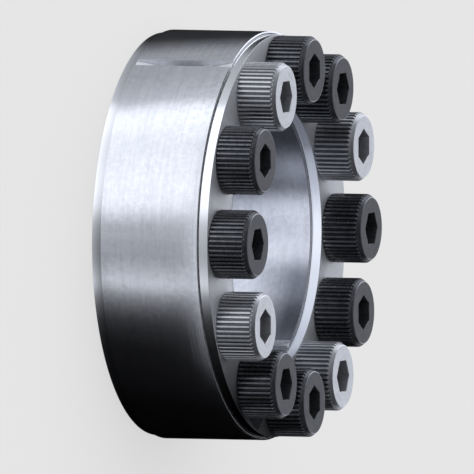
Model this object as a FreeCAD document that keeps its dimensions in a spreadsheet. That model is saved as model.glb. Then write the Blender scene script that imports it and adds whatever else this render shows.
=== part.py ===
import FreeCAD, Part
import os
import Sketcher

# Keyless shaft locking assembly, in millimetres.
# Two slit contact rings are spread between a shaft and a hub by two tapered thrust rings,
# which a circle of knurled socket-head screws draws together.
# The rear face stands on the XY plane, and +Z is the bore axis, towards the screw heads.

DRIVING_SIZES = {
    # contact rings: the outer one grips the hub, the inner one grips the shaft
    "outer_diameter": 80.0,
    "bore_diameter": 50.0,
    "contact_width": 20.0,
    "outer_wall": 0.3,
    "inner_wall": 0.5,
    "taper_angle": 12.0,
    "taper_depth": 7.6,
    "slit_width": 2.0,
    "outer_slit_angle": 210.0,
    "inner_slit_angle": 30.0,
    # thrust rings
    "rim_height": 2.0,
    "rim_step": 0.25,
    "nose_depth": 7.0,
    "seat_gap": 0.05,
    "bore_flare": 0.1,
    "bore_flare_depth": 1.55,
    # circle of screws
    "screw_count": 12,
    "thread_diameter": 8.0,
    "thread_gap": 0.05,
    "hole_gap": 0.2,
    "jack_hole_gap": 0.3,
    "jack_hole_count": 4,
    # one screw
    "tip_recess": 2.0,
    "tip_chamfer": 0.8,
    "head_diameter": 13.5,
    "head_height": 8.0,
    "head_edge": 0.6,
    "head_chamfer": 0.3,
    "socket_width": 6.0,
    "socket_depth": 4.6,
    "socket_cone_depth": 1.4,
    "knurl_count": 45,
    "knurl_depth": 0.28,
    # edge breaks
    "contact_chamfer": 0.1,
    "rim_chamfer": 0.15,
    "hole_chamfer": 0.4,
}

# Lengths worked out from the sheet, as expressions
OUTER_RADIUS = "Sizes.outer_diameter / 2"
BORE_RADIUS = "Sizes.bore_diameter / 2"
OUTER_WALL_RADIUS = "(Sizes.outer_diameter / 2 - Sizes.outer_wall)"
INNER_WALL_RADIUS = "(Sizes.bore_diameter / 2 + Sizes.inner_wall)"
CONE_OUTER_RADIUS = f"({OUTER_WALL_RADIUS} - Sizes.seat_gap)"
CONE_BORE_RADIUS = f"({INNER_WALL_RADIUS} + Sizes.seat_gap)"
RIM_OUTER_RADIUS = f"({CONE_OUTER_RADIUS} - Sizes.rim_step)"
RIM_BORE_RADIUS = f"({CONE_BORE_RADIUS} + Sizes.rim_step)"
TAPER_RISE = "Sizes.taper_depth * tan(Sizes.taper_angle)"
NOSE_RISE = "Sizes.nose_depth * tan(Sizes.taper_angle)"
CONTACT_START = "Sizes.rim_height"
CONTACT_END = "(Sizes.rim_height + Sizes.contact_width)"
OVERALL_WIDTH = "(2 * Sizes.rim_height + Sizes.contact_width)"
SCREW_CIRCLE_RADIUS = "((Sizes.outer_diameter + Sizes.bore_diameter) / 4)"
THREAD_RADIUS = "Sizes.thread_diameter / 2"
SCREW_LENGTH = f"({OVERALL_WIDTH} - Sizes.tip_recess)"
HEAD_RADIUS = "Sizes.head_diameter / 2"
SOCKET_CORNER_RADIUS = "Sizes.socket_width / 2 / cos(30)"

CUTTING_FEATURES = ("PartDesign::Pocket", "PartDesign::Groove", "PartDesign::PolarPattern")

doc = FreeCAD.newDocument("ShaftLockingAssembly")


def make_sheet():
    sheet = doc.addObject("Spreadsheet::Sheet", "Sizes")
    for row, (alias, value) in enumerate(DRIVING_SIZES.items(), start=1):
        sheet.set(f"A{row}", alias.replace("_", " "))
        sheet.set(f"B{row}", str(value))
        sheet.setAlias(f"B{row}", alias)
    doc.recompute()
    return sheet


sizes = make_sheet()


def measure(expression):
    value = sizes.evalExpression(expression)
    return float(getattr(value, "Value", value))


def new_body(name):
    body = doc.addObject("PartDesign::Body", name)
    body.Label = name
    return body


def new_sketch(body, name, plane, lift=None, turn=None):
    sketch = body.newObject("Sketcher::SketchObject", name)
    role = next(item for item in body.Origin.OriginFeatures if item.Role == plane)
    sketch.AttachmentSupport = (role, "")
    sketch.MapMode = "FlatFace"
    if turn:
        spin = FreeCAD.Rotation(FreeCAD.Vector(0, 0, 1), measure(turn))
        sketch.AttachmentOffset = FreeCAD.Placement(FreeCAD.Vector(0, 0, 0), spin)
        sketch.setExpression("AttachmentOffset.Rotation.Angle", turn)
    if lift:
        sketch.setExpression("AttachmentOffset.Base.z", lift)
    return sketch


def place_point(sketch, line, end, across, along):
    # ties one point to the sketch's axes by the two expressions
    for kind, axis, expression in (("DistanceX", -2, across), ("DistanceY", -1, along)):
        if expression == "0":
            sketch.addConstraint(Sketcher.Constraint("PointOnObject", line, end, axis))
            continue
        value = measure(expression)
        index = sketch.addConstraint(Sketcher.Constraint(kind, -1, 1, line, end, value))
        sketch.setExpression(f"Constraints[{index}]", expression)


def draw_outline(sketch, points):
    # closed outline of straight lines through (across, along) pairs of expressions
    corners = [FreeCAD.Vector(measure(x), measure(y), 0) for x, y in points]
    count = len(corners)
    for index in range(count):
        sketch.addGeometry(Part.LineSegment(corners[index], corners[(index + 1) % count]), False)
    for index in range(count):
        following = (index + 1) % count
        sketch.addConstraint(Sketcher.Constraint("Coincident", index, 2, following, 1))
    for index, (across, along) in enumerate(points):
        place_point(sketch, index, 1, across, along)


def draw_circle(sketch, across, radius):
    # circle with its centre on the sketch's horizontal axis
    centre = FreeCAD.Vector(measure(across), 0, 0)
    normal = FreeCAD.Vector(0, 0, 1)
    circle = sketch.addGeometry(Part.Circle(centre, normal, measure(radius)), False)
    place_point(sketch, circle, 3, across, "0")
    index = sketch.addConstraint(Sketcher.Constraint("Radius", circle, measure(radius)))
    sketch.setExpression(f"Constraints[{index}]", radius)


def revolve(body, name, points):
    sketch = new_sketch(body, name + "_profile", "XZ_Plane")
    draw_outline(sketch, points)
    feature = body.newObject("PartDesign::Revolution", name)
    feature.Profile = sketch
    feature.ReferenceAxis = (sketch, ["V_Axis"])
    feature.Angle = 360
    doc.recompute()
    return feature


def cut_through(body, name, sketch):
    # cuts from the sketch towards +Z through everything
    feature = body.newObject("PartDesign::Pocket", name)
    feature.Profile = sketch
    feature.Type = "ThroughAll"
    feature.Reversed = True
    doc.recompute()
    return feature


def repeat_round(body, name, feature, count):
    pattern = body.newObject("PartDesign::PolarPattern", name)
    pattern.Originals = [feature]
    pattern.Axis = (feature.Profile[0], ["N_Axis"])
    pattern.Angle = 360
    pattern.setExpression("Occurrences", count)
    body.Tip = pattern
    doc.recompute()
    return pattern


def find_rims(shape, rims):
    # names of the circular edges that have the given radius and height
    names = []
    wanted = [(measure(radius), measure(height)) for radius, height in rims]
    for index, edge in enumerate(shape.Edges, start=1):
        if not isinstance(edge.Curve, Part.Circle):
            continue
        found = (edge.Curve.Radius, edge.Curve.Center.z)
        if any(abs(found[0] - r) < 1e-4 and abs(found[1] - z) < 1e-4 for r, z in wanted):
            names.append(f"Edge{index}")
    return names


def chamfer_rims(body, name, base, size, rims):
    feature = body.newObject("PartDesign::Chamfer", name)
    feature.Base = (base, find_rims(base.Shape, rims))
    feature.setExpression("Size", size)
    doc.recompute()
    return feature


# Outer contact ring: thin at both ends, with two tapers that meet at a land in the middle
def make_outer_ring():
    body = new_body("outer_ring")
    land = f"({OUTER_WALL_RADIUS} - {TAPER_RISE})"
    ring = revolve(body, "outer_double_taper", [
        (OUTER_RADIUS, CONTACT_START),
        (OUTER_RADIUS, CONTACT_END),
        (OUTER_WALL_RADIUS, CONTACT_END),
        (land, f"{CONTACT_END} - Sizes.taper_depth"),
        (land, f"{CONTACT_START} + Sizes.taper_depth"),
        (OUTER_WALL_RADIUS, CONTACT_START),
    ])
    rims = [(OUTER_RADIUS, CONTACT_START), (OUTER_RADIUS, CONTACT_END)]
    chamfer_rims(body, "outer_edges", ring, "Sizes.contact_chamfer", rims)
    cut_slit(body, "outer_slit", land, OUTER_RADIUS, "Sizes.outer_slit_angle")
    return body


# Inner contact ring: the same tapers on its outside, around the bore that takes the shaft
def make_inner_ring():
    body = new_body("inner_ring")
    land = f"({INNER_WALL_RADIUS} + {TAPER_RISE})"
    ring = revolve(body, "inner_double_taper", [
        (BORE_RADIUS, CONTACT_START),
        (INNER_WALL_RADIUS, CONTACT_START),
        (land, f"{CONTACT_START} + Sizes.taper_depth"),
        (land, f"{CONTACT_END} - Sizes.taper_depth"),
        (INNER_WALL_RADIUS, CONTACT_END),
        (BORE_RADIUS, CONTACT_END),
    ])
    rims = [(BORE_RADIUS, CONTACT_START), (BORE_RADIUS, CONTACT_END)]
    chamfer_rims(body, "bore_edges", ring, "Sizes.contact_chamfer", rims)
    cut_slit(body, "inner_slit", BORE_RADIUS, land, "Sizes.inner_slit_angle")
    return body


def cut_slit(body, name, inside, outside, angle):
    # one lengthwise slit lets the ring widen or close on its seat
    sketch = new_sketch(body, name + "_outline", "XY_Plane", turn=angle)
    low = f"{inside} - Sizes.slit_width"
    high = f"{outside} + Sizes.slit_width"
    draw_outline(sketch, [
        (low, "-Sizes.slit_width / 2"),
        (high, "-Sizes.slit_width / 2"),
        (high, "Sizes.slit_width / 2"),
        (low, "Sizes.slit_width / 2"),
    ])
    return cut_through(body, name, sketch)


# A thrust ring: a short rim with a flared bore, then a nose that tapers on both sides.
# The nose starts a small step wider than the rim, so a thin ledge shows beside each contact ring
def make_thrust_ring(name, face, flare_end, rim_end, nose_end):
    body = new_body(name)
    ring = revolve(body, name + "_wedge", [
        (f"{RIM_BORE_RADIUS} + Sizes.bore_flare", face),
        (RIM_OUTER_RADIUS, face),
        (RIM_OUTER_RADIUS, rim_end),
        (CONE_OUTER_RADIUS, rim_end),
        (f"{CONE_OUTER_RADIUS} - {NOSE_RISE}", nose_end),
        (f"{CONE_BORE_RADIUS} + {NOSE_RISE}", nose_end),
        (CONE_BORE_RADIUS, rim_end),
        (RIM_BORE_RADIUS, rim_end),
        (RIM_BORE_RADIUS, flare_end),
    ])
    rims = [(RIM_OUTER_RADIUS, face)]
    chamfer_rims(body, name + "_edge", ring, "Sizes.rim_chamfer", rims)
    return body


# Front thrust ring: clearance holes for the screws, some of them wider for jacking threads
def make_front_ring():
    rim_end = CONTACT_END
    nose_end = f"({CONTACT_END} - Sizes.nose_depth)"
    flare_end = f"({OVERALL_WIDTH} - Sizes.bore_flare_depth)"
    body = make_thrust_ring("front_thrust_ring", OVERALL_WIDTH, flare_end, rim_end, nose_end)
    hole_radius = f"({THREAD_RADIUS} + Sizes.hole_gap)"
    sketch = new_sketch(body, "clearance_hole_outline", "XY_Plane")
    draw_circle(sketch, SCREW_CIRCLE_RADIUS, hole_radius)
    hole = cut_through(body, "clearance_hole", sketch)
    repeat_round(body, "clearance_holes", hole, "Sizes.screw_count")
    pitch = "360 / Sizes.screw_count"
    sketch = new_sketch(body, "jack_hole_outline", "XY_Plane", turn=pitch)
    draw_circle(sketch, SCREW_CIRCLE_RADIUS, f"({THREAD_RADIUS} + Sizes.jack_hole_gap)")
    hole = cut_through(body, "jack_hole", sketch)
    repeat_round(body, "jack_holes", hole, "Sizes.jack_hole_count")
    return body


# Rear thrust ring: the screws' threads engage here, right through to the rear face
def make_rear_ring():
    rim_end = CONTACT_START
    nose_end = f"({CONTACT_START} + Sizes.nose_depth)"
    body = make_thrust_ring("rear_thrust_ring", "0", "Sizes.bore_flare_depth", rim_end, nose_end)
    tapped_radius = f"({THREAD_RADIUS} + Sizes.thread_gap)"
    sketch = new_sketch(body, "tapped_hole_outline", "XY_Plane")
    draw_circle(sketch, SCREW_CIRCLE_RADIUS, tapped_radius)
    hole = cut_through(body, "tapped_hole", sketch)
    holes = repeat_round(body, "tapped_holes", hole, "Sizes.screw_count")
    chamfer_rims(body, "thread_mouths", holes, "Sizes.hole_chamfer", [(tapped_radius, "0")])
    return body


# Clamp screw, drawn with the underside of its head at the height 0
def make_screw(name):
    body = new_body(name)
    turned = revolve(body, "screw_blank", [
        ("0", f"-{SCREW_LENGTH}"),
        (f"{THREAD_RADIUS} - Sizes.tip_chamfer", f"-{SCREW_LENGTH}"),
        (THREAD_RADIUS, f"Sizes.tip_chamfer - {SCREW_LENGTH}"),
        (THREAD_RADIUS, "0"),
        (f"{HEAD_RADIUS} - Sizes.head_chamfer", "0"),
        (HEAD_RADIUS, "Sizes.head_chamfer"),
        (HEAD_RADIUS, "Sizes.head_height"),
        ("0", "Sizes.head_height"),
    ])
    rims = [(HEAD_RADIUS, "Sizes.head_height")]
    chamfer_rims(body, "head_top_edge", turned, "Sizes.head_edge", rims)
    cut_socket(body)
    cut_knurl(body)
    return body


# Hexagon socket with a corner on the screw's X axis and a shallow cone at its bottom
def cut_socket(body):
    sketch = new_sketch(body, "socket_outline", "XY_Plane", lift="Sizes.head_height")
    corners = [
        (f"{SOCKET_CORNER_RADIUS} * cos({60 * k})", f"{SOCKET_CORNER_RADIUS} * sin({60 * k})")
        for k in range(6)
    ]
    corners[0] = (SOCKET_CORNER_RADIUS, "0")
    corners[3] = (f"-{SOCKET_CORNER_RADIUS}", "0")
    draw_outline(sketch, corners)
    socket = body.newObject("PartDesign::Pocket", "socket")
    socket.Profile = sketch
    socket.setExpression("Length", "Sizes.socket_depth")
    doc.recompute()
    floor = "(Sizes.head_height - Sizes.socket_depth)"
    sketch = new_sketch(body, "socket_cone_profile", "XZ_Plane")
    draw_outline(sketch, [
        ("0", floor),
        ("0", f"{floor} - Sizes.socket_cone_depth"),
        ("Sizes.socket_width / 2", floor),
    ])
    cone = body.newObject("PartDesign::Groove", "socket_cone")
    cone.Profile = sketch
    cone.ReferenceAxis = (sketch, ["V_Axis"])
    cone.Angle = 360
    doc.recompute()


# V grooves with right-angled bottoms, which run out in the chamfer at the top of the head
def cut_knurl(body):
    sketch = new_sketch(body, "knurl_groove_outline", "XY_Plane")
    draw_outline(sketch, [
        (f"{HEAD_RADIUS} - Sizes.knurl_depth", "0"),
        (f"{HEAD_RADIUS} + Sizes.knurl_depth", "-2 * Sizes.knurl_depth"),
        (f"{HEAD_RADIUS} + Sizes.knurl_depth", "2 * Sizes.knurl_depth"),
    ])
    groove = body.newObject("PartDesign::Pocket", "knurl_groove")
    groove.Profile = sketch
    groove.Reversed = True
    groove.setExpression("Length", "Sizes.head_height")
    doc.recompute()
    repeat_round(body, "knurl", groove, "Sizes.knurl_count")


def copy_screw(master, name):
    body = new_body(name)
    copy = body.newObject("PartDesign::FeatureBase", name + "_copy")
    copy.BaseFeature = master
    body.Tip = copy
    return body


# Each screw stands on the front face, with a corner of its socket towards the bore axis
def place_screw(body, index):
    angle = f"{index} * 360 / Sizes.screw_count"
    body.Placement.Rotation = FreeCAD.Rotation(FreeCAD.Vector(0, 0, 1), measure(angle))
    body.setExpression("Placement.Base.x", f"{SCREW_CIRCLE_RADIUS} * cos({angle})")
    body.setExpression("Placement.Base.y", f"{SCREW_CIRCLE_RADIUS} * sin({angle})")
    body.setExpression("Placement.Base.z", OVERALL_WIDTH)
    body.setExpression("Placement.Rotation.Angle", angle)


def make_screws():
    master = make_screw("clamp_screw_01")
    screws = [master]
    for index in range(1, int(DRIVING_SIZES["screw_count"])):
        screws.append(copy_screw(master, f"clamp_screw_{index + 1:02d}"))
    doc.recompute()
    for index, body in enumerate(screws):
        place_screw(body, index)
    doc.recompute()
    return screws


def check_model(bodies):
    for item in doc.Objects:
        if "Invalid" in item.State or "Error" in item.State:
            raise RuntimeError(f"{item.Name} failed: {item.State}")
        if item.TypeId in CUTTING_FEATURES:
            if item.Shape.Volume >= item.BaseFeature.Shape.Volume:
                raise RuntimeError(f"{item.Name} removed nothing")
    for body in bodies:
        if body.Shape.isNull() or not body.Shape.isValid():
            raise RuntimeError(f"{body.Label} has no valid shape")


subparts = [make_outer_ring(), make_inner_ring(), make_front_ring(), make_rear_ring()]
subparts += make_screws()
doc.recompute()
check_model(subparts)

os.makedirs("parts", exist_ok=True)
for body in subparts:
    body.Shape.exportStep(f"parts/{body.Label}.step")
    box = body.Shape.BoundBox
    place = f"x {box.XMin:.2f} to {box.XMax:.2f}, z {box.ZMin:.2f} to {box.ZMax:.2f}"
    print(f"{body.Label}: {body.Shape.Volume:.1f} mm3, {place}")
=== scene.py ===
import bpy
import bmesh
import math
from mathutils import Matrix, Vector


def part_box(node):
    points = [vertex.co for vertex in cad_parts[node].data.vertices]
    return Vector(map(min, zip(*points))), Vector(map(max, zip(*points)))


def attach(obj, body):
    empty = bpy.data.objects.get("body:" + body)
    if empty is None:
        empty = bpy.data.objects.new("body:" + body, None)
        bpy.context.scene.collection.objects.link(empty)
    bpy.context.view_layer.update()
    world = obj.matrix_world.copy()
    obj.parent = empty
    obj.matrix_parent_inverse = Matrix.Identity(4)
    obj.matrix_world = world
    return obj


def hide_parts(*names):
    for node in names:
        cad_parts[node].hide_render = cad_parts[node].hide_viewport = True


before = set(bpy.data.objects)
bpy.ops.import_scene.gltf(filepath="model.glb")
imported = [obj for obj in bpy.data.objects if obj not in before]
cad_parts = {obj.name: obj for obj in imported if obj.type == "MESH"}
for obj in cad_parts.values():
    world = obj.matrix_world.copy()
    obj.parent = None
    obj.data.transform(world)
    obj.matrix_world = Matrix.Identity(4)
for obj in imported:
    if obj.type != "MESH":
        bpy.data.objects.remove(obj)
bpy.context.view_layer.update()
print("frame loaded")

mm = 0.001
fullTurn = 2 * math.pi

# where the pieces stand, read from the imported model
contactStart, contactEnd = (corner.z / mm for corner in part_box("outer_ring"))
rearFace = 0.0                     # the frame's origin lies on it
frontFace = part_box("front_thrust_ring")[1].z / mm
screwNames = sorted(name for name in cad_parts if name.startswith("clamp_screw"))
screwLow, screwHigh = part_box("clamp_screw_01")
screwCircle = (screwLow.x + screwHigh.x) / 2 / mm


# camera: the bore axis runs to the right in the picture, so the frame is rolled by a quarter turn
photoCamera = {
    "frameWidth": 92.714,
    "distance": 2500.0,
    "right": (0.0, 0.3420, 0.9397),
    "up": (-0.99863, 0.04912, -0.01788),
    "aimRight": -7.667,
    "aimUp": -0.215,
    "clip": (0.05, 20.0),          # in metres
}


def makeCamera(values):
    right = Vector(values["right"]).normalized()
    up = Vector(values["up"])
    up = (up - right * up.dot(right)).normalized()
    back = right.cross(up)
    aim = Vector((0, 0, frontFace)) + right * values["aimRight"] + up * values["aimUp"]
    data = bpy.data.cameras.new("photoCamera")
    data.type = "ORTHO"            # the photograph was taken from far away
    data.ortho_scale = values["frameWidth"] * mm
    data.clip_start, data.clip_end = values["clip"]
    camera = bpy.data.objects.new("photoCamera", data)
    bpy.context.scene.collection.objects.link(camera)
    place = (aim + back * values["distance"]) * mm
    turn = Matrix((right, up, back)).transposed().to_4x4()
    camera.matrix_world = Matrix.Translation(place) @ turn
    bpy.context.scene.camera = camera


makeCamera(photoCamera)
print("camera set")


# node helpers
def newNode(tree, kind, **settings):
    node = tree.nodes.new(kind)
    for name, value in settings.items():
        setattr(node, name, value)
    return node


def feed(tree, value, socket):
    # a number or a colour is set on the socket, a result is linked to it
    if isinstance(value, tuple):
        socket.default_value = (*value, 1)
    elif isinstance(value, (int, float)):
        socket.default_value = value
    else:
        tree.links.new(value, socket)


def mathNode(tree, operation, *inputs, clamp=False):
    node = newNode(tree, "ShaderNodeMath", operation=operation, use_clamp=clamp)
    for value, socket in zip(inputs, node.inputs):
        feed(tree, value, socket)
    return node.outputs[0]


def mapNode(tree, value, start, end, interpolation="LINEAR"):
    # 0 at start, 1 at end
    node = newNode(tree, "ShaderNodeMapRange", interpolation_type=interpolation)
    for label, item in (("Value", value), ("From Min", start), ("From Max", end)):
        feed(tree, item, node.inputs[label])
    return node.outputs[0]


def noiseNode(tree, vector, scale, detail, roughness=0.5):
    node = newNode(tree, "ShaderNodeTexNoise")
    for label, item in (("Vector", vector), ("Scale", scale), ("Detail", detail), ("Roughness", roughness)):
        feed(tree, item, node.inputs[label])
    return node.outputs["Fac"]


def rampNode(tree, factor, stops, interpolation="LINEAR"):
    node = newNode(tree, "ShaderNodeValToRGB")
    ramp = node.color_ramp
    ramp.interpolation = interpolation
    while len(ramp.elements) < len(stops):
        ramp.elements.new(1.0)
    for element, (place, shade) in zip(ramp.elements, stops):
        element.position = place
        colour = shade if isinstance(shade, tuple) else (shade, shade, shade)
        element.color = (*colour, 1.0)
    tree.links.new(factor, node.inputs["Fac"])
    return node.outputs["Color"]


def mixColour(tree, factor, first, second, blend="MIX"):
    node = newNode(tree, "ShaderNodeMix", data_type="RGBA", blend_type=blend)
    for label, item in (("Factor", factor), ("A", first), ("B", second)):
        feed(tree, item, node.inputs[label])
    return node.outputs["Result"]


# mesh helpers; meshes are built in millimetres
onPlane = 1e-5                     # points this near to a plane lie on it
merged = 1e-4                      # points this near to each other are one


def limit(value, least=0.0):
    return min(1.0, max(least, value))


def liesOn(edge, height):
    return all(abs(point.co.z - height) < onPlane for point in edge.verts)


def addLoop(bm, radius, steps, centre=(0.0, 0.0), height=0.0):
    points = bmesh.ops.create_circle(bm, cap_ends=False, segments=steps, radius=radius)["verts"]
    bmesh.ops.translate(bm, verts=points, vec=(*centre, height))
    return points


def extrudeLoop(bm, points):
    # extrudes the edges that join the given points, and gives back the new points
    points = set(points)
    edges = {edge for point in points for edge in point.link_edges if edge.other_vert(point) in points}
    made = bmesh.ops.extrude_edge_only(bm, edges=list(edges))["geom"]
    return [item for item in made if isinstance(item, bmesh.types.BMVert)]


def capLoop(bm, points):
    edges = {edge for point in points for edge in point.link_edges if edge.is_boundary}
    return bmesh.ops.contextual_create(bm, geom=list(edges))["faces"]


def fillFace(bm, height):
    # closes a flat face between its rims and the rims of its holes
    rims = [edge for edge in bm.edges if edge.is_boundary and liesOn(edge, height)]
    bmesh.ops.triangle_fill(bm, use_beauty=True, use_dissolve=False, edges=rims, normal=(0, 0, 1))


def roundCorners(bm, corners, offsets, segments=3):
    for corner, offset in zip(corners, offsets):
        if offset:
            bmesh.ops.bevel(
                bm, geom=[corner], offset=offset, offset_type="OFFSET", affect="VERTICES",
                segments=segments, profile=0.5, material=-1,
            )


def makeSpun(outline, offsets, steps, openAt=()):
    # spins a closed outline of (distance from the axis, height) points; edges lying on a height in
    # openAt are left out, for a face with holes
    bm = bmesh.new()
    corners = [bm.verts.new((radius, 0, height)) for radius, height in outline]
    bm.faces.new(corners)
    roundCorners(bm, corners, offsets)
    bmesh.ops.delete(bm, geom=list(bm.faces), context="FACES_ONLY")
    flat = [edge for edge in bm.edges if any(liesOn(edge, height) for height in openAt)]
    bmesh.ops.delete(bm, geom=flat, context="EDGES")
    points = {point for edge in bm.edges for point in edge.verts}
    bmesh.ops.spin(
        bm, geom=list(points) + list(bm.edges), cent=(0, 0, 0), axis=(0, 0, 1),
        angle=fullTurn, steps=steps, use_merge=True,
    )
    bmesh.ops.remove_doubles(bm, verts=bm.verts, dist=merged)
    return bm


def newObject(name, bm):
    mesh = bpy.data.meshes.new(name)
    bm.to_mesh(mesh)
    made = bpy.data.objects.new(name, mesh)
    bpy.context.scene.collection.objects.link(made)
    return made


def emptyMaterial(name):
    material = bpy.data.materials.new(name)
    material.use_nodes = True
    material.node_tree.nodes.clear()
    return material


# studio: a pale floor and a surrounding that metal sees as one broad lamp with dark sides
studio = {
    "backdrop": 0.7913,            # the flat grey that the camera sees
    "fill": (1.7, 0.0),            # light on rough surfaces, from the picture's top and from its foot
    "floorGlow": 0.60,             # part of the floor's grey that no shadow darkens
    "floorColour": (0.237, 0.227, 0.206),
    "floorSize": 9.0,              # in metres
    # what metal sees round the object, in bands from its foot to straight above: between which
    # heights a band comes in, then degrees from the camera's side towards the lamp, with the
    # brightness there
    "bands": [
        (None, [
            (-180, 0.0), (-110, 0.002), (-78, 0.006), (-66, 0.008), (-56, 0.018), (-48, 0.036), (-42, 0.088),
            (-37, 0.177), (-33, 0.27), (-29, 0.53), (-25, 0.70), (-19, 0.53), (-11, 0.387), (-4, 0.407),
            (3, 0.477), (8, 0.54), (12, 0.72), (16, 1.0), (21, 1.16), (30, 1.23), (50, 1.12), (60, 1.16),
            (70, 1.33), (76, 1.29), (80, 1.15), (85, 0.63), (103, 0.47), (128, 0.383), (140, 0.145),
            (150, 0.031), (180, 0.022),
        ]),
        ((-0.18, -0.02), [
            (-180, 1.7), (-155, 1.0), (-120, 0.05), (-95, 0.03), (-77, 0.30), (-36, 0.63), (0, 0.86),
            (28, 0.80), (69, 0.80), (92, 0.80), (120, 0.85), (155, 1.3), (180, 1.7),
        ]),
        ((0.22, 0.30), [
            (-180, 1.2), (-162, 1.1), (-150, 0.3), (-135, 0.02), (100, 0.02), (112, 1.2), (118, 1.65),
            (158, 1.65), (170, 1.4), (180, 1.2),
        ]),
        ((0.45, 0.55), [
            (-180, 0.3), (-176, 0.2), (-166, 0.06), (-10, 0.08), (10, 0.20), (40, 0.36), (100, 0.40),
            (145, 0.35), (158, 0.8), (180, 0.3),
        ]),
        ((0.72, 0.78), [(-180, 0.02), (180, 0.02)]),
    ],
    "peak": 1.7,
    "tint": (0.95, 0.99, 1.09),
}


def makeWorld(values):
    world = bpy.data.worlds.new("studio")
    bpy.context.scene.world = world
    world.use_nodes = True
    tree = world.node_tree
    tree.nodes.clear()
    coords = newNode(tree, "ShaderNodeTexCoord")
    parts = newNode(tree, "ShaderNodeSeparateXYZ")
    tree.links.new(coords.outputs["Generated"], parts.inputs[0])
    x, y, z = parts.outputs
    lampward, cameraward = (mathNode(tree, "MULTIPLY", part, -1.0) for part in (x, y))
    angle = mathNode(tree, "ARCTAN2", lampward, cameraward)
    share = mathNode(tree, "MULTIPLY_ADD", angle, 1 / fullTurn, 0.5)
    peak = values["peak"]
    blend = None
    for heights, stops in values["bands"]:
        shades = rampNode(tree, share, [((degrees + 180) / 360, shade / peak) for degrees, shade in stops])
        if heights:
            rise = mapNode(tree, z, *heights, "SMOOTHSTEP")
            shades = mixColour(tree, rise, blend, shades)
        blend = shades
    tinted = mixColour(tree, 1.0, blend, values["tint"], "MULTIPLY")
    seen = newNode(tree, "ShaderNodeBackground")
    seen.inputs["Color"].default_value = (values["backdrop"],) * 3 + (1,)
    mirrored = newNode(tree, "ShaderNodeBackground")
    tree.links.new(tinted, mirrored.inputs["Color"])
    mirrored.inputs["Strength"].default_value = peak
    fill = newNode(tree, "ShaderNodeBackground")
    top, foot = values["fill"]
    strength = mathNode(tree, "MULTIPLY_ADD", x, (foot - top) / 2, (foot + top) / 2)
    tree.links.new(strength, fill.inputs["Strength"])
    fill.inputs["Color"].default_value = (*values["tint"], 1)
    path = newNode(tree, "ShaderNodeLightPath")
    soft = newNode(tree, "ShaderNodeMixShader")
    tree.links.new(path.outputs["Is Glossy Ray"], soft.inputs["Fac"])
    tree.links.new(fill.outputs[0], soft.inputs[1])
    tree.links.new(mirrored.outputs[0], soft.inputs[2])
    final = newNode(tree, "ShaderNodeMixShader")
    tree.links.new(path.outputs["Is Camera Ray"], final.inputs["Fac"])
    tree.links.new(soft.outputs[0], final.inputs[1])
    tree.links.new(seen.outputs[0], final.inputs[2])
    output = newNode(tree, "ShaderNodeOutputWorld")
    tree.links.new(final.outputs[0], output.inputs["Surface"])


def makeFloor(values):
    bm = bmesh.new()
    bmesh.ops.create_grid(bm, x_segments=1, y_segments=1, size=values["floorSize"] / 2)
    floor = newObject("floor", bm)
    bm.free()
    material = emptyMaterial("paleFloor")
    tree = material.node_tree
    diffuse = newNode(tree, "ShaderNodeBsdfDiffuse")
    diffuse.inputs["Color"].default_value = (*values["floorColour"], 1)
    glow = newNode(tree, "ShaderNodeEmission")
    glow.inputs["Color"].default_value = (values["floorGlow"],) * 3 + (1,)
    path = newNode(tree, "ShaderNodeLightPath")
    tree.links.new(path.outputs["Is Camera Ray"], glow.inputs["Strength"])
    total = newNode(tree, "ShaderNodeAddShader")
    tree.links.new(diffuse.outputs[0], total.inputs[0])
    tree.links.new(glow.outputs[0], total.inputs[1])
    # clear from below, so that the back can be seen
    side = newNode(tree, "ShaderNodeNewGeometry")
    clear = newNode(tree, "ShaderNodeBsdfTransparent")
    sided = newNode(tree, "ShaderNodeMixShader")
    tree.links.new(side.outputs["Backfacing"], sided.inputs["Fac"])
    tree.links.new(total.outputs[0], sided.inputs[1])
    tree.links.new(clear.outputs[0], sided.inputs[2])
    output = newNode(tree, "ShaderNodeOutputMaterial")
    tree.links.new(sided.outputs[0], output.inputs["Surface"])
    floor.data.materials.append(material)
    floor.visible_glossy = False   # metal sees the studio through it, as over a glass table


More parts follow.
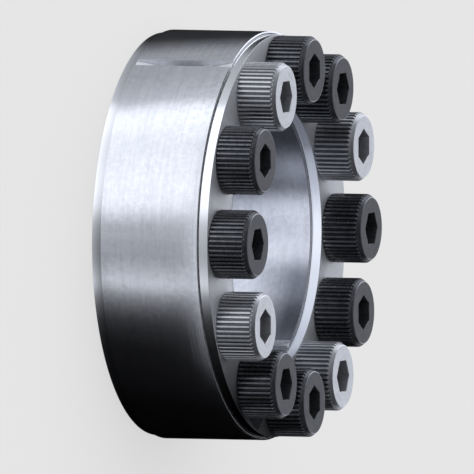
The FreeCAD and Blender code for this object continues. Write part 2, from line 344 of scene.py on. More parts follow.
# a curved glowing card in the bore that paints the reflections in its polished wall, which alone
# mirrors it: one strip for the inner ring, with other shades deep in the bore, and two for the lip of
# the front ring, each with its painted brightness by degrees round the axis
paintedBoreReflection = {
    "segments": 180,
    "tint": (0.93, 0.98, 1.10),
    "strips": [
        {"radius": 24.6, "low": 1.0, "high": 22.3, "shades": [
            (0, 0.30), (20, 0.18), (36, 0.11), (42, 0.08), (48, 0.075), (54, 0.10), (60, 0.23), (66, 0.24),
            (72, 0.27), (78, 0.84), (84, 0.85), (90, 0.70), (96, 0.80), (102, 0.72), (108, 0.14),
            (114, 0.28), (120, 0.32), (126, 0.11), (132, 0.04), (138, 0.03), (170, 0.05), (200, 0.08),
            (270, 0.10), (330, 0.16), (360, 0.30),
        ], "deep": (9.5, 19.3), "deepShades": [
            (0, 0.30), (30, 0.20), (42, 0.32), (48, 0.52), (54, 0.70), (60, 0.84), (66, 0.82), (72, 0.74),
            (78, 0.97), (84, 0.90), (90, 0.60), (96, 0.72), (102, 0.50), (108, 0.06), (114, 0.08),
            (122, 0.07), (140, 0.04), (200, 0.08), (270, 0.10), (360, 0.30),
        ]},
        {"radius": 25.5, "low": 22.08, "high": 22.38, "shades": [
            (0, 0.3), (24, 0.38), (42, 0.48), (60, 0.72), (86, 0.92), (104, 0.60), (126, 0.28), (150, 0.12),
            (270, 0.08), (360, 0.3),
        ]},
        {"radius": 25.5, "low": 22.38, "high": 24.3, "shades": [
            (0, 0.40), (24, 0.49), (42, 0.58), (54, 0.75), (72, 0.77), (80, 0.92), (94, 0.94), (104, 0.66),
            (111, 0.48), (115, 0.51), (126, 0.32), (130, 0.17), (150, 0.17), (200, 0.10), (270, 0.13),
            (360, 0.40),
        ]},
    ],
}


def makeBoreStrip(values, segments, tint):
    low, high = values["low"], values["high"]
    bm = bmesh.new()
    points = addLoop(bm, values["radius"] * mm, segments, height=low * mm)
    bmesh.ops.translate(bm, verts=extrudeLoop(bm, points), vec=(0, 0, (high - low) * mm))
    card = newObject("paintedBoreReflection", bm)
    bm.free()
    material = emptyMaterial("paintedBoreReflection")
    tree = material.node_tree
    coords = newNode(tree, "ShaderNodeTexCoord")
    parts = newNode(tree, "ShaderNodeSeparateXYZ")
    tree.links.new(coords.outputs["Object"], parts.inputs[0])
    angle = mathNode(tree, "ARCTAN2", parts.outputs[1], parts.outputs[0])
    share = mathNode(tree, "FRACT", mathNode(tree, "DIVIDE", angle, fullTurn))
    glow = newNode(tree, "ShaderNodeEmission")

    def ramp(shades):
        # the darker, the bluer
        stops = []
        for degrees, shade in shades:
            stops.append((degrees / 360, tuple(shade * part ** (2 - shade) for part in tint)))
        return rampNode(tree, share, stops, "B_SPLINE")

    shown = ramp(values["shades"])
    if "deep" in values:
        deep, shallow = values["deep"]
        height = mapNode(tree, parts.outputs[2], deep * mm, shallow * mm)
        shown = mixColour(tree, height, ramp(values["deepShades"]), shown)
    tree.links.new(shown, glow.inputs["Color"])
    output = newNode(tree, "ShaderNodeOutputMaterial")
    tree.links.new(glow.outputs[0], output.inputs["Surface"])
    card.data.materials.append(material)
    # painted reflection only: the glowing card is hidden from the camera, lights nothing and casts no shadow
    card.visible_camera = False
    card.visible_diffuse = False
    card.visible_shadow = False


bpy.context.scene.view_settings.view_transform = "Standard"
makeWorld(studio)
makeFloor(studio)
for strip in paintedBoreReflection["strips"]:
    makeBoreStrip(strip, paintedBoreReflection["segments"], paintedBoreReflection["tint"])
print("studio set")


# shared effects, as node groups
def newGroup(name, inputs, outputs):
    group = bpy.data.node_groups.new(name, "ShaderNodeTree")
    for label, value in inputs.items():
        socket = group.interface.new_socket(label, in_out="INPUT", socket_type="NodeSocketFloat")
        socket.default_value = value
    for label in outputs:
        group.interface.new_socket(label, in_out="OUTPUT", socket_type="NodeSocketFloat")
    entry = newNode(group, "NodeGroupInput")
    leave = newNode(group, "NodeGroupOutput")
    return group, entry, leave


def placeNode(tree):
    # where a point lies on its own piece, in millimetres
    return newNode(tree, "ShaderNodeAttribute", attribute_name="place").outputs["Vector"]


latheMarks = {
    "linesPerMm": 6.0,
    "run": 3.0,                    # how soon a line changes on its way round
    "axis": 0.01,                  # the least distance from the axis that directions are taken at
    # density, detail and run of the fine lines and of the broader tones
    "layers": {"Height": (1.0, 1.0, 1.0), "Tone": (0.4, 3.0, 3.0)},
}


def makeTurningGroup(values):
    # fine lines round the piece's axis, on its cylinders and its faces alike
    inputs = {"Lines per mm": values["linesPerMm"], "Run": values["run"]}
    group, entry, leave = newGroup("turningMarks", inputs, list(values["layers"]))
    parts = newNode(group, "ShaderNodeSeparateXYZ")
    group.links.new(placeNode(group), parts.inputs[0])
    x, y, z = parts.outputs
    squares = mathNode(group, "ADD", mathNode(group, "MULTIPLY", x, x), mathNode(group, "MULTIPLY", y, y))
    radius = mathNode(group, "SQRT", squares)
    safe = mathNode(group, "MAXIMUM", radius, values["axis"])
    across, along = (mathNode(group, "DIVIDE", part, safe) for part in (x, y))
    for label, (density, detail, turns) in values["layers"].items():
        scale = mathNode(group, "MULTIPLY", entry.outputs["Lines per mm"], density)
        run = mathNode(group, "MULTIPLY", entry.outputs["Run"], turns)
        vector = newNode(group, "ShaderNodeCombineXYZ")
        for part, size, socket in zip((radius, across, along), (scale, run, run), vector.inputs):
            group.links.new(mathNode(group, "MULTIPLY", part, size), socket)
        noise = newNode(group, "ShaderNodeTexNoise", noise_dimensions="4D")
        noise.inputs["Scale"].default_value = 1.0
        noise.inputs["Detail"].default_value = detail
        group.links.new(vector.outputs[0], noise.inputs["Vector"])
        group.links.new(mathNode(group, "MULTIPLY", z, scale), noise.inputs["W"])
        group.links.new(noise.outputs["Fac"], leave.inputs[label])
    return group


scuffs = {
    "patchSize": 9.0,
    "patchDetail": 4.0,
    "scratchDensity": 0.35,
    "scratchTurns": (0.4, 1.3, 2.2),
    "scratchAxes": (1.0, 1.7, 0.6),
    "scratchStretch": (1.0, 0.10, 1.0),
    "scratchWidth": 0.008,
    "scratchFrom": 0.60,           # scratches show where the patches are stronger than this
    "grain": (0.9, 5.0, 0.65),     # scale, detail and roughness
    "gather": (0.07, 1.0),         # scale and detail
    "gatherShare": 0.9,
    "smudgeRange": (0.98, 1.16),
}


def makeScuffGroup(values):
    # handling marks: cloudy patches, sparse scratches, smudges and a fine grain
    inputs = {"Patch Size": values["patchSize"], "Scratch Density": values["scratchDensity"]}
    group, entry, leave = newGroup("handlingMarks", inputs, ["Patches", "Scratches", "Smudges", "Grain"])
    place = placeNode(group)
    scale = mathNode(group, "DIVIDE", 1.0, entry.outputs["Patch Size"])
    patches = noiseNode(group, place, scale, values["patchDetail"])
    group.links.new(patches, leave.inputs["Patches"])
    marks = []
    for turn in values["scratchTurns"]:
        spun = newNode(group, "ShaderNodeMapping")
        spun.inputs["Rotation"].default_value = [turn * axis for axis in values["scratchAxes"]]
        spun.inputs["Scale"].default_value = values["scratchStretch"]
        group.links.new(place, spun.inputs["Vector"])
        cells = newNode(group, "ShaderNodeTexVoronoi", feature="DISTANCE_TO_EDGE")
        group.links.new(spun.outputs[0], cells.inputs["Vector"])
        group.links.new(entry.outputs["Scratch Density"], cells.inputs["Scale"])
        marks.append(mathNode(group, "LESS_THAN", cells.outputs["Distance"], values["scratchWidth"]))
    crossed = mathNode(group, "MAXIMUM", marks[0], mathNode(group, "MAXIMUM", marks[1], marks[2]))
    rare = mathNode(group, "GREATER_THAN", patches, values["scratchFrom"])
    group.links.new(mathNode(group, "MULTIPLY", crossed, rare), leave.inputs["Scratches"])
    # smudges are the grain where a few wide areas gather it
    grain = noiseNode(group, place, *values["grain"])
    group.links.new(grain, leave.inputs["Grain"])
    wide = mathNode(group, "MULTIPLY", noiseNode(group, place, *values["gather"]), values["gatherShare"])
    smudges = mapNode(group, mathNode(group, "ADD", grain, wide), *values["smudgeRange"], "SMOOTHSTEP")
    group.links.new(smudges, leave.inputs["Smudges"])
    return group


rubbedEdges = {
    "start": 0.53,
    "end": 0.60,
    "patches": (1.4, 3.0),         # scale and detail
}


def makeWearGroup(values):
    # bright rubbed edges, from how sharply the surface turns
    group, entry, leave = newGroup("edgeWear", {"Start": values["start"], "End": values["end"]}, ["Wear"])
    geometry = newNode(group, "ShaderNodeNewGeometry")
    reach = mapNode(group, geometry.outputs["Pointiness"], entry.outputs["Start"], entry.outputs["End"])
    patches = noiseNode(group, placeNode(group), *values["patches"])
    group.links.new(mathNode(group, "MULTIPLY", reach, patches), leave.inputs["Wear"])
    return group


turningMarks = makeTurningGroup(latheMarks)
handlingMarks = makeScuffGroup(scuffs)
edgeWear = makeWearGroup(rubbedEdges)


# metal finishes; pairs are (smoothest, roughest), (start, end) or (where clean, where darkened by oil and
# painted shade)
groundSteel = {
    "name": "groundRingSteel",
    "slot": "ring_steel",
    "light": (0.845, 0.85, 0.865),
    "dark": (0.715, 0.72, 0.745),
    "worn": (0.93, 0.935, 0.95),
    "scratches": 0.25,
    "smudges": 0.3,
    "tones": (1.0, 1.0),           # share of the colour left on the sides and on the faces
    "metallic": 1.0,
    "faceMetallic": 1.0,
    "sides": (0.11, 0.18),
    "faces": (0.14, 0.20),
    "lines": 4.0,
    "run": 1.5,
    "bump": 0.004,
    "wear": (0.54, 0.62),
    # how much oil and painted shade darken it
    "grooves": 1.0,
    "grazing": (1.0, 0.0),         # share of the glancing reflection left where clean and where darkened by oil and painted shade
}
thrustSteel = {
    **groundSteel,
    "name": "thrustRingSteel",
    "light": (0.99, 0.99, 0.99),
    "dark": (0.94, 0.945, 0.955),
    "smudges": 0.05,
    "faceMetallic": 0.95,
    "faces": (0.59, 0.68),
    "wear": (0.62, 0.80),
}
sawnSteel = {
    **groundSteel,
    "name": "sawnRingSteel",
    "light": (0.78, 0.785, 0.82),
    "dark": (0.66, 0.665, 0.70),
    "worn": (0.8, 0.8, 0.82),
    "scratches": 0.3,
    "smudges": 0.0,
    "metallic": 0.3,
    "faceMetallic": 0.3,
    "sides": (0.45, 0.60),
    "faces": (0.45, 0.60),
    "lines": 3.0,
    "bump": 0.010,
    "grooves": 0.0,
    "grazing": (1.0, 1.0),
}
taperSteel = {
    **sawnSteel,
    "name": "lappedTaperSteel",
    "light": (0.96, 0.965, 0.98),
    "dark": (0.90, 0.905, 0.92),
    "worn": (0.9, 0.9, 0.9),
    "sides": (0.40, 0.50),
    "faces": (0.40, 0.50),
    "bump": 0.006,
}
blackOxide = {
    "name": "blackOxideSteel",
    "slot": "black_oxide_steel",
    "light": (0.145, 0.148, 0.158),
    "dark": (0.079, 0.081, 0.087),
    "worn": (0.62, 0.62, 0.64),
    "scratches": 0.06,
    "smudges": 0.0,
    "tones": (1.0, 0.38),
    "metallic": 0.88,
    "faceMetallic": 0.88,
    "sides": (0.22, 0.34),
    "faces": (0.30, 0.40),
    "lines": 7.0,
    "run": 1.2,
    "bump": 0.010,
    "wear": (0.54, 0.66),
    "grooves": 0.92,
    "grazing": (0.75, 0.75),
}
zincPlate = {
    **blackOxide,
    "name": "zincPlatedSteel",
    "slot": "zinc_plated_steel",
    "light": (0.79, 0.795, 0.81),
    "dark": (0.64, 0.645, 0.66),
    "worn": (0.80, 0.80, 0.82),
    "scratches": 0.2,
    "tones": (0.82, 0.70),
    "metallic": 1.0,
    "faceMetallic": 1.0,
    "sides": (0.32, 0.44),
    "grooves": 0.90,
    "grazing": (1.0, 1.0),
}
everyMetal = {
    "toneRange": (0.76, 1.24),
    # the colour of oil and of painted shade
    "oilAndShade": (0.006, 0.006, 0.007),
    "grooveFill": 0.6,             # the lower, the sooner a shallow groove is full of oil and painted shade
    "faceRange": (0.80, 0.97),     # how far a normal leans towards the axis, from side to face
    "lineRoughness": 0.08,
}


def useGroup(tree, group, **values):
    node = newNode(tree, "ShaderNodeGroup", node_tree=group)
    for label, value in values.items():
        node.inputs[label.replace("_", " ")].default_value = value
    return node


def makeMetal(values, common):
    material = bpy.data.materials.new(values["name"])
    material.use_nodes = True
    tree = material.node_tree
    shader = tree.nodes["Principled BSDF"]
    shader.inputs["Metallic"].default_value = values["metallic"]
    turning = useGroup(tree, turningMarks, Lines_per_mm=values["lines"], Run=values["run"])
    handling = useGroup(tree, handlingMarks)
    wearStart, wearEnd = values["wear"]
    wear = useGroup(tree, edgeWear, Start=wearStart, End=wearEnd)
    mottled = mathNode(tree, "ADD", turning.outputs["Tone"], handling.outputs["Grain"])
    tone = mapNode(tree, mottled, *common["toneRange"])
    colour = mixColour(tree, tone, values["dark"], values["light"])
    # edges that tools and hands have rubbed bright
    rubbed = newNode(tree, "ShaderNodeAttribute", attribute_name="rubbed")
    scratches = mathNode(tree, "MULTIPLY", handling.outputs["Scratches"], values["scratches"])
    smudges = mathNode(tree, "MULTIPLY", handling.outputs["Smudges"], values["smudges"])
    marks = mathNode(tree, "MAXIMUM", wear.outputs["Wear"], scratches, clamp=True)
    marks = mathNode(tree, "MAXIMUM", marks, smudges)
    marks = mathNode(tree, "MAXIMUM", marks, rubbed.outputs["Fac"])
    colour = mixColour(tree, marks, colour, values["worn"])
    # the knurl's grooves hold oil and painted shade, and painted shade darkens the contact rings' ends and
    # the thrust rings' rims, ledges and front face
    groove = newNode(tree, "ShaderNodeAttribute", attribute_name="groove")
    filled = mathNode(tree, "POWER", groove.outputs["Fac"], common["grooveFill"])
    dirtAndShade = mathNode(tree, "MULTIPLY", filled, values["grooves"])
    colour = mixColour(tree, dirtAndShade, colour, common["oilAndShade"])
    clean, dirtyAndShaded = values["grazing"]
    shader.inputs["Specular Tint"].default_value = (clean, clean, clean, 1)
    if dirtyAndShaded != clean:
        glancing = mixColour(tree, dirtAndShade, (clean,) * 3, (dirtyAndShaded,) * 3)
        tree.links.new(glancing, shader.inputs["Specular Tint"])
    # faces are coarser than the turned or ground sides, and a black finish is duller on them
    coords = newNode(tree, "ShaderNodeTexCoord")
    facing = newNode(tree, "ShaderNodeSeparateXYZ")
    tree.links.new(coords.outputs["Normal"], facing.inputs[0])
    flat = mapNode(tree, mathNode(tree, "ABSOLUTE", facing.outputs[2]), *common["faceRange"])
    sideTone, faceTone = values["tones"]
    dulled = mathNode(tree, "MULTIPLY_ADD", flat, sideTone - faceTone, 1.0 - sideTone)
    dulled = mathNode(tree, "MULTIPLY", dulled, mathNode(tree, "SUBTRACT", 1.0, marks, clamp=True))
    colour = mixColour(tree, dulled, colour, (0.0, 0.0, 0.0))
    tree.links.new(colour, shader.inputs["Base Color"])
    change = values["faceMetallic"] - values["metallic"]
    if change:
        metallic = mathNode(tree, "MULTIPLY_ADD", flat, change, values["metallic"])
        tree.links.new(metallic, shader.inputs["Metallic"])
    levels = []
    for smooth, rough in (values["sides"], values["faces"]):
        levels.append(mathNode(tree, "MULTIPLY_ADD", handling.outputs["Patches"], rough - smooth, smooth))
    spread = newNode(tree, "ShaderNodeMix", data_type="FLOAT")
    for label, result in (("Factor", flat), ("A", levels[0]), ("B", levels[1])):
        tree.links.new(result, spread.inputs[label])
    lines = common["lineRoughness"]
    lined = mathNode(tree, "MULTIPLY_ADD", turning.outputs["Height"], lines, spread.outputs["Result"])
    tree.links.new(mathNode(tree, "SUBTRACT", lined, lines / 2), shader.inputs["Roughness"])
    bump = newNode(tree, "ShaderNodeBump")
    bump.inputs["Strength"].default_value = 1.0
    bump.inputs["Distance"].default_value = values["bump"] * mm
    tree.links.new(turning.outputs["Height"], bump.inputs["Height"])
    tree.links.new(bump.outputs[0], shader.inputs["Normal"])
    return material


everyFinish = (groundSteel, thrustSteel, sawnSteel, taperSteel, blackOxide, zincPlate)
metals = {finish["name"]: makeMetal(finish, everyMetal) for finish in everyFinish}
print("materials made")


def finishPiece(name, bm, finishes, body, nodes, centre=(0, 0), turn=0.0, sharp=32.0):
    bmesh.ops.recalc_face_normals(bm, faces=bm.faces)
    piece = newObject(name, bm)
    mesh = piece.data
    place = mesh.attributes.new("place", "FLOAT_VECTOR", "POINT")
    for point, item in zip(mesh.vertices, place.data):
        item.vector = point.co
    flatFrom = 0.9999              # faces that look along the axis more than this are flat
    mesh.polygons.foreach_set("use_smooth", [abs(face.normal.z) < flatFrom for face in mesh.polygons])
    mesh.set_sharp_from_angle(angle=math.radians(sharp))
    toPlace = Matrix.Translation((centre[0] * mm, centre[1] * mm, 0)) @ Matrix.Rotation(turn, 4, "Z")
    mesh.transform(toPlace @ Matrix.Scale(mm, 4))
    for finish in finishes:
        mesh.materials.append(metals[finish["name"]])
    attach(piece, body)
    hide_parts(*nodes)


# contact rings: slit, thin at the ends, with two tapers that meet at a land in the middle
outerRing = {
    "radius": 40.0,
    "endWall": 0.3,
    "slitAngle": 210.0,
    "edge": 0.02,
    "innerEdge": 0.04,
    # painted shade on its front end: how deep it reaches, how wide its dark line along the inner edge is,
    # and the part of the X axis on which it thickens on the rest, leaving the end bright towards negative X
    "oilAndShade": {"depth": 0.005, "edge": 0.03, "start": -35.5, "length": 3.5},
}
innerRing = {
    "bore": 25.0,
    "endWall": 0.5,
    "slitAngle": 30.0,
    "edge": 0.03,
    # painted shade along its front end: how deep it reaches and how dark
    "oilAndShade": {"depth": 0.045, "share": 0.35},
}
contactTaper = {
    "angle": 12.0,
    "depth": 7.6,
    "slitWidth": 2.0,
    "slitReach": 6.0,              # walls this near to the slit's middle are cut
    "steps": 360,
}


def cutSlit(bm, angle, width, reach):
    along = Vector((math.cos(angle), math.sin(angle), 0))
    across = Vector((-along.y, along.x, 0))

    def wallsWithin(distance):
        middles = [(face, face.calc_center_median()) for face in bm.faces]
        return [
            face for face, middle in middles
            if middle.dot(along) > 0 and abs(middle.dot(across)) < distance
        ]

    for side in (1, -1):
        near = wallsWithin(reach)
        edges = {edge for face in near for edge in face.edges}
        points = {point for face in near for point in face.verts}
        bmesh.ops.bisect_plane(
            bm, geom=near + list(edges) + list(points), dist=onPlane,
            plane_co=across * side * width / 2, plane_no=across,
        )
    bmesh.ops.delete(bm, geom=wallsWithin(width / 2), context="FACES")
    rims = [edge for edge in bm.edges if edge.is_boundary]
    for wall in bmesh.ops.holes_fill(bm, edges=rims, sides=0)["faces"]:
        wall.material_index = 1


def paintEndShade(bm, depth, share):
    # painted shade darkens the ends of the rings; the share of each point comes from its distance and its x
    dirtAndShade = bm.verts.layers.float.new("groove")
    for point in bm.verts:
        if abs(point.co.z - contactEnd) < depth:
            point[dirtAndShade] = share(point.co.xy.length, point.co.x)


def makeOuterRing(values, taper):
    wall = values["radius"] - values["endWall"]
    land = wall - taper["depth"] * math.tan(math.radians(taper["angle"]))
    edge, innerEdge, oilAndShade = values["edge"], values["innerEdge"], values["oilAndShade"]
    outline = [
        (values["radius"], contactStart), (values["radius"], contactEnd), (wall, contactEnd),
        (land, contactEnd - taper["depth"]), (land, contactStart + taper["depth"]), (wall, contactStart),
    ]
    bm = makeSpun(outline, [edge, edge, innerEdge, 0, 0, innerEdge], taper["steps"])
    cutSlit(bm, math.radians(values["slitAngle"]), taper["slitWidth"], taper["slitReach"])

    # painted shade: a dark line along the inner edge, and darker beyond the start along X
    def share(radius, x):
        return 1.0 if radius < wall + oilAndShade["edge"] else limit((x - oilAndShade["start"]) / oilAndShade["length"])

    paintEndShade(bm, oilAndShade["depth"], share)
    finishPiece("outerRing", bm, [groundSteel, sawnSteel], "contact_rings", ["outer_ring"])
    bm.free()


def makeInnerRing(values, taper):
    wall = values["bore"] + values["endWall"]
    land = wall + taper["depth"] * math.tan(math.radians(taper["angle"]))
    edge, oilAndShade = values["edge"], values["oilAndShade"]
    outline = [
        (values["bore"], contactStart), (wall, contactStart), (land, contactStart + taper["depth"]),
        (land, contactEnd - taper["depth"]), (wall, contactEnd), (values["bore"], contactEnd),
        (values["bore"], contactEnd - 2 * edge),
    ]
    bm = makeSpun(outline, [edge, edge / 2, 0, 0, edge / 2, edge, 0], taper["steps"])
    cutSlit(bm, math.radians(values["slitAngle"]), taper["slitWidth"], taper["slitReach"])
    # painted shade along the front end
    paintEndShade(bm, oilAndShade["depth"], lambda radius, x: oilAndShade["share"])
    finishPiece("innerRing", bm, [groundSteel, sawnSteel], "contact_rings", ["inner_ring"])
    bm.free()


makeOuterRing(outerRing, contactTaper)
makeInnerRing(innerRing, contactTaper)
print("contact rings made")


# where each screw stands; one in three is zinc-plated and has a wider hole, drawn plain, where the real part
# has a jacking thread
jackEvery = 3
screwPlaces = []
for index, name in enumerate(screwNames):
    angle = fullTurn * index / len(screwNames)
    centre = (screwCircle * math.cos(angle), screwCircle * math.sin(angle))
    screwPlaces.append((name, angle, centre, index % jackEvery == 1))

screwThread = {
    "pitch": 1.25,
    "depth": 0.62,
    "levels": 8,
    "rootShare": 0.2,
    "flankShare": 0.65,
}


def threadCut(height, angle, thread):
    # how deep a right-hand thread is cut at a point: 0 on its crest
    phase = (height / thread["pitch"] - angle / fullTurn) % 1
    tooth = limit((abs(2 * phase - 1) - thread["rootShare"]) / thread["flankShare"])
    return thread["depth"] * (1 - tooth)


def raiseThread(bm, points, centre, height, radiusAt):
    # extrudes a loop of points to a new height, with a radius for each direction round the centre
    raised = extrudeLoop(bm, points)
    for point in raised:
        angle = math.atan2(point.co.y - centre[1], point.co.x - centre[0])
        radius = radiusAt(height, angle)
        point.co = (centre[0] + radius * math.cos(angle), centre[1] + radius * math.sin(angle), height)
    return raised


# thrust rings: a straight rim and a tapered nose, pierced by the screws
thrustRing = {
    "seatGap": 0.05,
    "rimStep": 0.25,
    "noseDepth": 7.0,
    "flare": 0.1,
    "flareDepth": 1.55,
    "edge": 0.02,
    "ledgeEdge": 0.07,
    "noseEdge": 0.2,
    "flareEdge": 0.05,
    "steps": 360,
    "holeSteps": 48,
    "clearanceHole": 4.2,
    "jackHole": 4.3,
    "tappedHole": 4.05,
    "mouth": 0.4,
    "threadEnd": 1.9,
    # painted shade: how near to a face it lies, how far from the rim's own radius still is the rim, the
    # length along X on which it thickens there, and its share on the outer and the inner ledge
    "shadeDepth": 0.06,
    "onRim": 0.001,
    "rimShadeLength": 20.0,
    "ledgeShade": (0.9, 0.6),
}
frontThrustRing = {
    **thrustRing,
    "name": "frontThrustRing",
    "node": "front_thrust_ring",
    "body": "front_ring",
    "face": frontFace,
    "rimEnd": contactEnd,
    "tapped": False,
    "rimShade": (0.5, 20.0, 0.0),    # strongest share, the x where it starts, least part of that share
    "faceShade": (0.82, 22.5, 10.0),  # strongest share, the x where it starts, the length until full
}
rearThrustRing = {
    **thrustRing,
    "name": "rearThrustRing",
    "node": "rear_thrust_ring",
    "body": "contact_rings",
    "face": rearFace,
    "rimEnd": contactStart,
    "tapped": True,
    "rimShade": (0.45, -20.0, 0.35),
}


def addTappedHole(bm, centre, nose, values, thread):
    # the thread shows between the rear face and the screw's end; beyond that the screw fills the hole
    plain, mouth, threadEnd = values["tappedHole"], values["mouth"], values["threadEnd"]

    def radiusAt(height, angle):
        cut = threadCut(height, angle, thread) if height < threadEnd else 0.0
        return max(plain - cut, plain + mouth - height - thread["depth"])

    points = addLoop(bm, plain + mouth, values["holeSteps"], centre)
    step = thread["pitch"] / thread["levels"]
    heights = [step * (index + 1) for index in range(int(threadEnd / step))]
    for height in heights + [threadEnd, nose]:
        points = raiseThread(bm, points, centre, height, radiusAt)


def addPlainHole(bm, centre, nose, radius, values):
    ends = [addLoop(bm, radius, values["holeSteps"], centre, height) for height in (nose, values["face"])]
    edges = {edge for end in ends for point in end for edge in point.link_edges}
    bmesh.ops.bridge_loops(bm, edges=list(edges))


def paintRimShade(bm, dirtAndShade, outer, bore, values):
    # painted shade: the rim is darker along its end, and the ledges are darker where they meet the contact
    # rings
    strongest, start, least = values["rimShade"]
    outerLedge, innerLedge = values["ledgeShade"]
    for point in bm.verts:
        radius = point.co.xy.length
        if abs(point.co.z - values["rimEnd"]) > values["shadeDepth"]:
            continue
        if abs(radius - outer) < values["onRim"]:
            point[dirtAndShade] = strongest * limit((point.co.x - start) / values["rimShadeLength"], least)
        elif radius > outer:
            point[dirtAndShade] = outerLedge
        elif abs(radius - bore) > values["shadeDepth"]:
            point[dirtAndShade] = innerLedge


def paintFaceShade(bm, dirtAndShade, values):
    # painted shade: the face is darker towards positive X
    strongest, start, length = values["faceShade"]
    for point in bm.verts:
        if abs(point.co.z - values["face"]) < values["shadeDepth"] and point[dirtAndShade] == 0:
            point[dirtAndShade] = strongest * limit((point.co.x - start) / length)


def makeThrustRing(values):
    face, rimEnd = values["face"], values["rimEnd"]
    inward = math.copysign(1, rimEnd - face)
    nose = rimEnd + inward * values["noseDepth"]
    cone = outerRing["radius"] - outerRing["endWall"] - values["seatGap"]
    coneBore = innerRing["bore"] + innerRing["endWall"] + values["seatGap"]
    outer, bore = cone - values["rimStep"], coneBore + values["rimStep"]
    rise = values["noseDepth"] * math.tan(math.radians(contactTaper["angle"]))
    edge, ledgeEdge, noseEdge = values["edge"], values["ledgeEdge"], values["noseEdge"]
    outline = [
        (bore + values["flare"], face), (outer - edge, face), (outer, face + inward * edge), (outer, rimEnd),
        (cone, rimEnd), (cone - rise, nose), (coneBore + rise, nose), (coneBore, rimEnd), (bore, rimEnd),
        (bore, face + inward * values["flareDepth"]),
    ]
    offsets = [edge, 0, 0, 0, ledgeEdge, noseEdge, noseEdge, 0, 0, values["flareEdge"]]
    bm = makeSpun(outline, offsets, values["steps"], openAt=(face, nose))
    low, high = sorted((rimEnd, nose))
    for wall in bm.faces:
        level = wall.calc_center_median().z
        # the ledges are ground, the nose's walls lapped
        if abs(level - rimEnd) < edge:
            wall.material_index = 2
        elif low < level < high:
            wall.material_index = 1
    # painted shade on the rim, the ledges and the front face
    dirtAndShade = bm.verts.layers.float.new("groove")
    paintRimShade(bm, dirtAndShade, outer, bore, values)
    for name, angle, centre, jack in screwPlaces:
        if values["tapped"]:
            addTappedHole(bm, centre, nose, values, screwThread)
        else:
            addPlainHole(bm, centre, nose, values["jackHole" if jack else "clearanceHole"], values)
    fillFace(bm, face)
    fillFace(bm, nose)
    if "faceShade" in values:
        paintFaceShade(bm, dirtAndShade, values)
    finishes = [thrustSteel, taperSteel, groundSteel]
    finishPiece(values["name"], bm, finishes, values["body"], [values["node"]])
    bm.free()


makeThrustRing(frontThrustRing)
makeThrustRing(rearThrustRing)
print("thrust rings made")


# clamp screws: knurled head with a smooth rounded edge, hexagon socket, plain end
clampScrew = {
    "threadRadius": 4.0,
    "threadStart": 1.5,
    "length": 22.0,
    "lastStep": 0.05,              # the thread's last level stays this far from the screw's end
    "tip": 0.8,
    "headRadius": 6.75,
    "headHeight": 8.0,
    "edge": 0.68,
    "edgeHeight": 1.0,
    "rounding": 0.24,
    "roundingSteps": 4,
    "shoulder": 0.25,              # where the straight knurl ends, below the chamfer
    "wear": (0.4, 0.8),            # how bright the chamfer's lower and upper edges are rubbed
    "underChamfer": 0.3,
    "knurlCount": 45,
    "knurlDepth": 0.24,
    "crestHalf": 0.18,
    "grooveHalf": 0.14,
    # how dark the knurl's grooves are, from oil and painted shade
    "grooveOilAndShade": 0.75,
    "margin": 0.12,
    "socketWidth": 6.0,
    "socketMouth": 0.12,
    "socketDepth": 4.6,
    "coneDepth": 1.4,
    "shankSteps": 36,
    "sharp": 30.0,
}


def makeKnurlLoop(bm, values):
    # the head's outline at its underside: a crest's middle and edge, a groove's floor and the next
    # crest's edge to each tooth
    count = values["knurlCount"]
    pitch = fullTurn / count
    crest = values["crestHalf"] / values["headRadius"]
    groove = values["grooveHalf"] / values["headRadius"]
    offsets = (0.0, crest, pitch / 2 - groove, pitch / 2 + groove, pitch - crest)
    underside = values["headRadius"] - values["underChamfer"]
    points = addLoop(bm, underside, len(offsets) * count)
    floor = set()
    for index, point in enumerate(points):
        tooth, step = divmod(index, len(offsets))
        angle = tooth * pitch + offsets[step]
        point.co = Vector((math.cos(angle), math.sin(angle), 0)) * underside
        if step in (2, 3):
            floor.add(point)
    return points, floor


def raiseLoop(bm, points, grooves, height, crest, groove):
    # extrudes a loop of points to a new height, with its own crest and groove radius
    raised = extrudeLoop(bm, points)
    raisedGrooves = set()
    for point in raised:
        if any(edge.other_vert(point) in grooves for edge in point.link_edges):
            raisedGrooves.add(point)
        size = groove if point in raisedGrooves else crest
        point.co = Vector((point.co.x, point.co.y, 0)).normalized() * size
        point.co.z = height
    return raised, raisedGrooves


def headOutline(values):
    # (height, crest radius, rubbed) up the head and over its chamfer, whose two edges are rounded
    radius, height = values["headRadius"], values["headHeight"]
    edge, rise = values["edge"], values["edgeHeight"]
    rounding, steps = values["rounding"], values["roundingSteps"]
    slope = math.atan2(edge, rise)
    lower = (radius - rounding, height - rise - rounding * math.tan(slope / 2), 0.0, slope)
    turn = math.pi / 4 - slope / 2
    upper = (radius - edge - rounding * math.tan(turn), height - rounding, slope, math.pi / 2)
    outline = [(values["underChamfer"], radius, 0.0), (height - rise - values["shoulder"], radius, 0.0)]
    for (across, up, first, last), wear in zip((lower, upper), values["wear"]):
        for step in range(steps + 1):
            share = step / steps
            angle = first + (last - first) * share
            rubbed = math.sin(math.pi * share) * wear
            outline.append((up + rounding * math.sin(angle), across + rounding * math.cos(angle), rubbed))
    # where the grooves run out on the chamfer
    depth = values["knurlDepth"]
    outline.append((height - rise + depth * rise / edge, radius - depth, 0.0))
    return sorted(outline)


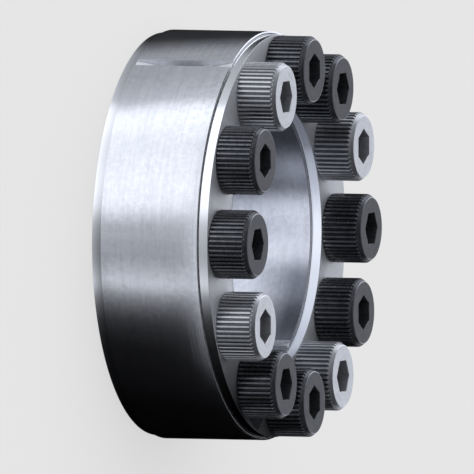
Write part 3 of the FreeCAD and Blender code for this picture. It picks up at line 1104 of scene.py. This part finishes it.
def makeHead(bm, values):
    dirtAndShade = bm.verts.layers.float.new("groove")
    worn = bm.verts.layers.float.new("rubbed")
    points, grooves = makeKnurlLoop(bm, values)
    floor = values["headRadius"] - values["knurlDepth"]
    for height, crest, rubbed in headOutline(values):
        points, grooves = raiseLoop(bm, points, grooves, height, crest, min(crest, floor))
        for point in points:
            # oil and painted shade in the knurl's grooves, darker where a groove is deeper
            if point in grooves:
                point[dirtAndShade] = values["grooveOilAndShade"] * max(0.0, crest - floor) / values["knurlDepth"]
            point[worn] = 0.0 if point in grooves and crest > floor else rubbed
    # a flat margin keeps the wear of the edge off the face
    margin = crest - values["margin"]
    raiseLoop(bm, points, grooves, height, margin, margin)


def makeSocket(bm, values):
    corner = values["socketWidth"] / 2 / math.cos(math.pi / 6)
    mouth = corner + values["socketMouth"]
    top = values["headHeight"]
    floor = top - values["socketDepth"]
    points = addLoop(bm, mouth + values["margin"], 6, height=top)
    # a corner points along the X axis
    first = points[0].co
    turn = Matrix.Rotation(-math.atan2(first.y, first.x), 3, "Z")
    bmesh.ops.rotate(bm, verts=points, cent=(0, 0, 0), matrix=turn)
    for height, size in ((top, mouth), (top - values["socketMouth"], corner), (floor, corner)):
        points, unused = raiseLoop(bm, points, set(), height, size, size)
    for point in bmesh.ops.poke(bm, faces=capLoop(bm, points))["verts"]:
        point.co.z = floor - values["coneDepth"]


def makeShank(bm, values, thread):
    radius, start, length = values["threadRadius"], values["threadStart"], values["length"]

    def radiusAt(height, angle):
        # the thread runs out below the head and into the chamfer at the end
        runOut = limit((-height - start) / thread["pitch"])
        chamfer = radius - values["tip"] + length + height
        return min(radius - threadCut(height, angle, thread) * runOut, chamfer)

    points = addLoop(bm, radius, values["shankSteps"])
    step = thread["pitch"] / thread["levels"]
    heights = [-start]
    while heights[-1] - step > -length + values["lastStep"]:
        heights.append(heights[-1] - step)
    for height in heights + [-length]:
        points = raiseThread(bm, points, (0.0, 0.0), height, radiusAt)
    capLoop(bm, points)


def makeScrewShape(values):
    bm = bmesh.new()
    makeHead(bm, values)
    makeSocket(bm, values)
    makeShank(bm, values, screwThread)
    fillFace(bm, 0.0)
    fillFace(bm, values["headHeight"])
    bmesh.ops.translate(bm, verts=bm.verts, vec=(0, 0, frontFace))
    return bm


screwShape = makeScrewShape(clampScrew)
for name, angle, centre, jack in screwPlaces:
    finish = zincPlate if jack else blackOxide
    body = "screw_" + name[-2:]
    finishPiece(
        name.replace("_", "."), screwShape, [finish], body, [name], centre, angle, clampScrew["sharp"]
    )
screwShape.free()
print("clamp screws made")
